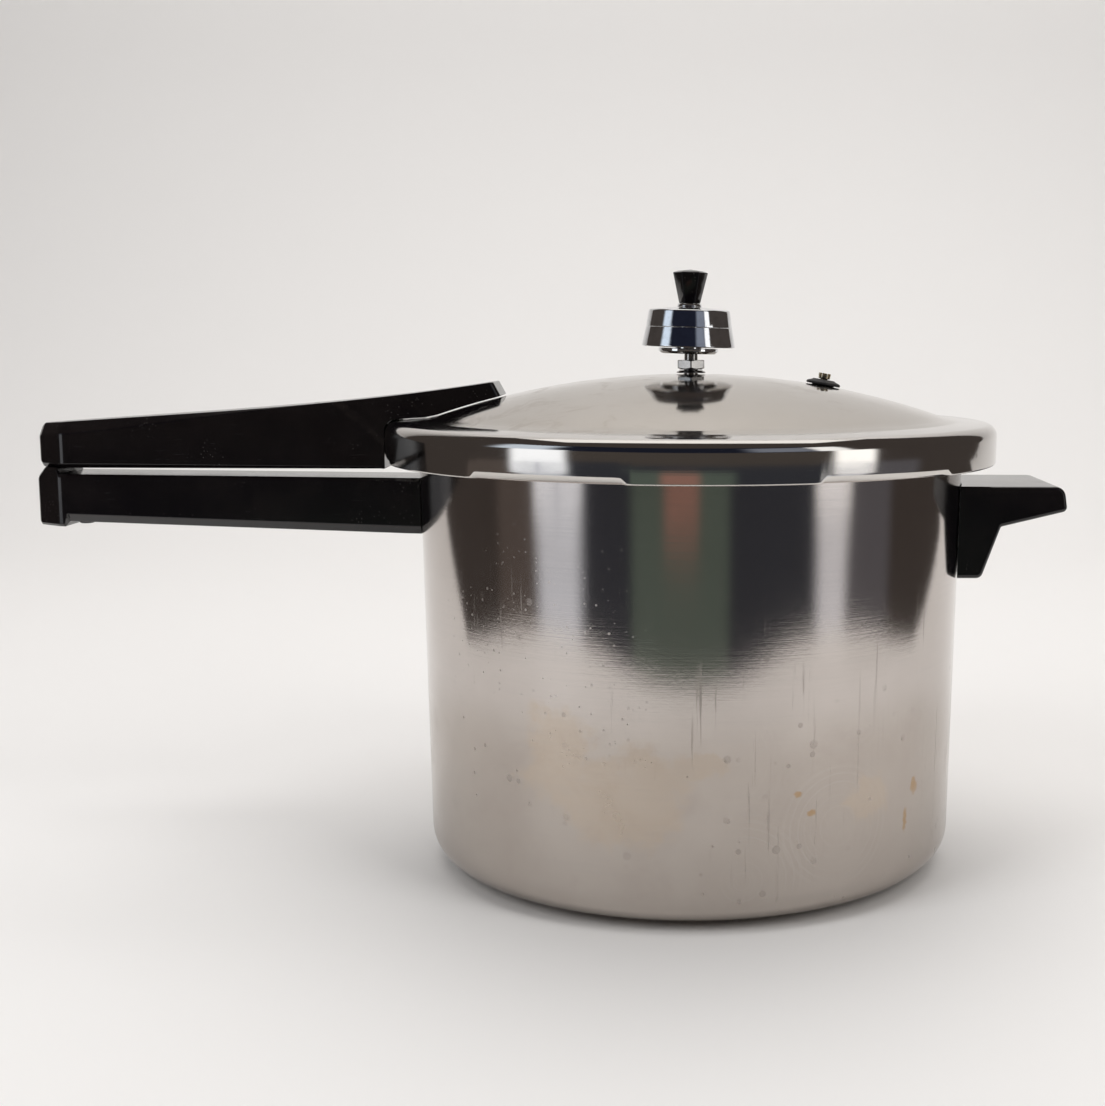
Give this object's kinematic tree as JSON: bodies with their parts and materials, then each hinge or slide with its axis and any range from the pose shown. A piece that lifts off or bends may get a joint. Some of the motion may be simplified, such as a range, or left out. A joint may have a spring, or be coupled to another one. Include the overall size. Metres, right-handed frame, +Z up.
{
  "type": "stovetop pressure cooker",
  "caption": "Tall round stainless pot with a domed bayonet cover, long black handles, a short helper handle and a weighted pressure regulator.",
  "frame": {"origin": "centre of the flat face under the pot that stands on the stove", "axes": "+Z up, the long handles point along -X and the helper handle along +X"},
  "size_m": [0.443, 0.2648, 0.2577],
  "materials": {
    "pot_steel": "worn satin stainless steel with fine horizontal brushing, water marks and heat tint",
    "cover_steel": "polished stainless steel, softly scuffed on the dome",
    "fitting_steel": "plain bright steel",
    "vent_steel": "turned stainless steel",
    "chrome": "bright chrome plate",
    "aluminium": "plain sheet aluminium",
    "phenolic": "glossy black moulded phenolic with worn edges",
    "rubber": "black rubber"
  },
  "bodies": {
    "pot": {"pot_body": "pot_steel", "heat_spreader_disc": "aluminium", "body_handle_bracket": "fitting_steel", "body_handle": "phenolic", "body_handle_washer": "fitting_steel", "body_handle_screw": "fitting_steel", "helper_handle_bracket": "fitting_steel", "helper_handle": "phenolic", "helper_handle_washer": "fitting_steel", "helper_handle_screw": "fitting_steel"},
    "seal": {"sealing_ring": "rubber"},
    "cover": {"cover": "cover_steel", "cover_handle_bracket": "fitting_steel", "cover_handle": "phenolic", "cover_handle_front_washer": "fitting_steel", "cover_handle_front_screw": "fitting_steel", "cover_handle_rear_washer": "fitting_steel", "cover_handle_rear_screw": "fitting_steel", "vent_pipe": "vent_steel", "vent_pipe_washer": "vent_steel", "vent_pipe_gasket": "rubber", "vent_pipe_locknut": "vent_steel", "overpressure_plug": "rubber"},
    "air_vent_pin": {"air_vent_pin": "vent_steel"},
    "regulator": {"regulator_spindle": "chrome", "regulator_lower_weight": "chrome", "regulator_upper_weight": "chrome", "regulator_knob_washer": "chrome", "regulator_knob": "phenolic"},
    "rack": {"cooking_rack": "aluminium"}
  },
  "joints": [
    {"name": "cover_lift", "type": "slide", "parent": "pot", "child": "seal", "axis": [0, 0, 1], "range_m": [0, 0.12]},
    {"name": "cover_turn", "type": "hinge", "parent": "seal", "child": "cover", "pos_m": [0, 0, 0.18], "axis": [0, 0, 1], "range_deg": [0, 30]},
    {"name": "regulator_lift", "type": "slide", "parent": "cover", "child": "regulator", "axis": [0, 0, 1], "range_m": [0, 0.03]},
    {"name": "air_vent_pin_rise", "type": "slide", "parent": "cover", "child": "air_vent_pin", "axis": [0.1692, 0, 0.9856], "range_m": [0, 0.003]},
    {"name": "rack_lift", "type": "slide", "parent": "pot", "child": "rack", "axis": [0, 0, 1], "range_m": [0, 0.12]}
  ]
}
